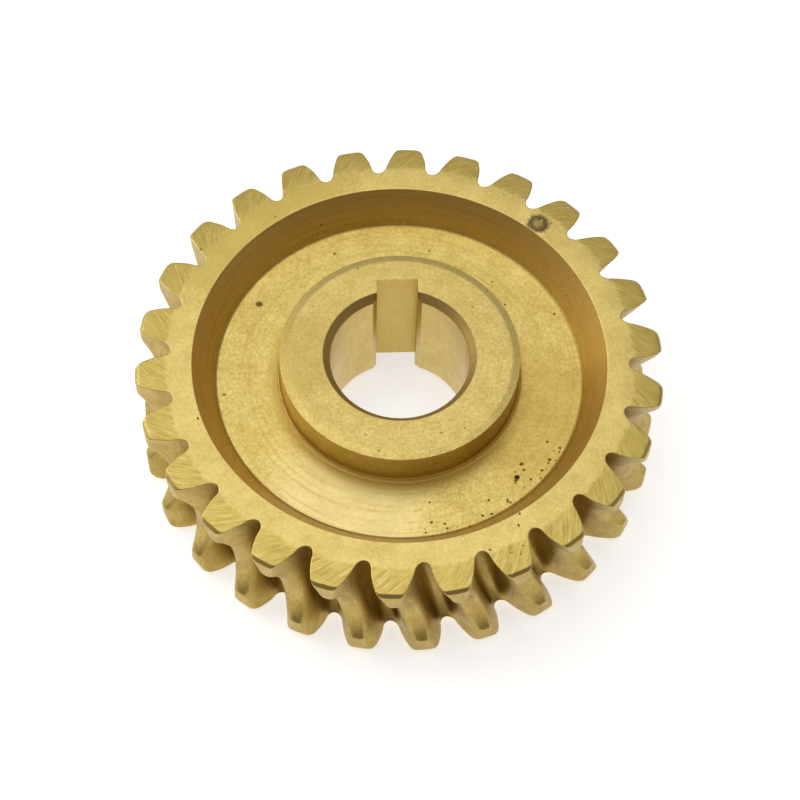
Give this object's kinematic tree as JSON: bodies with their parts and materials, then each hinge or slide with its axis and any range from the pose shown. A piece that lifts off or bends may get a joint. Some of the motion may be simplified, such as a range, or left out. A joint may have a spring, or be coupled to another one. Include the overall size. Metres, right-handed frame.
{
  "type": "worm wheel",
  "caption": "Brass worm wheel with throated, slanting teeth round a dished rim, and a raised hub with a keyed through bore.",
  "frame": {"origin": "on the bore's axis, in the plane of the hub's back face, which the wheel lies on", "axes": "+Z along the bore's axis from the hub's back face to its front face, +Y towards the keyway"},
  "size_m": [0.0756, 0.0756, 0.02],
  "materials": {
    "brass": "satin"
  },
  "bodies": {
    "root": {"worm_wheel": "brass"}
  },
  "joints": []
}
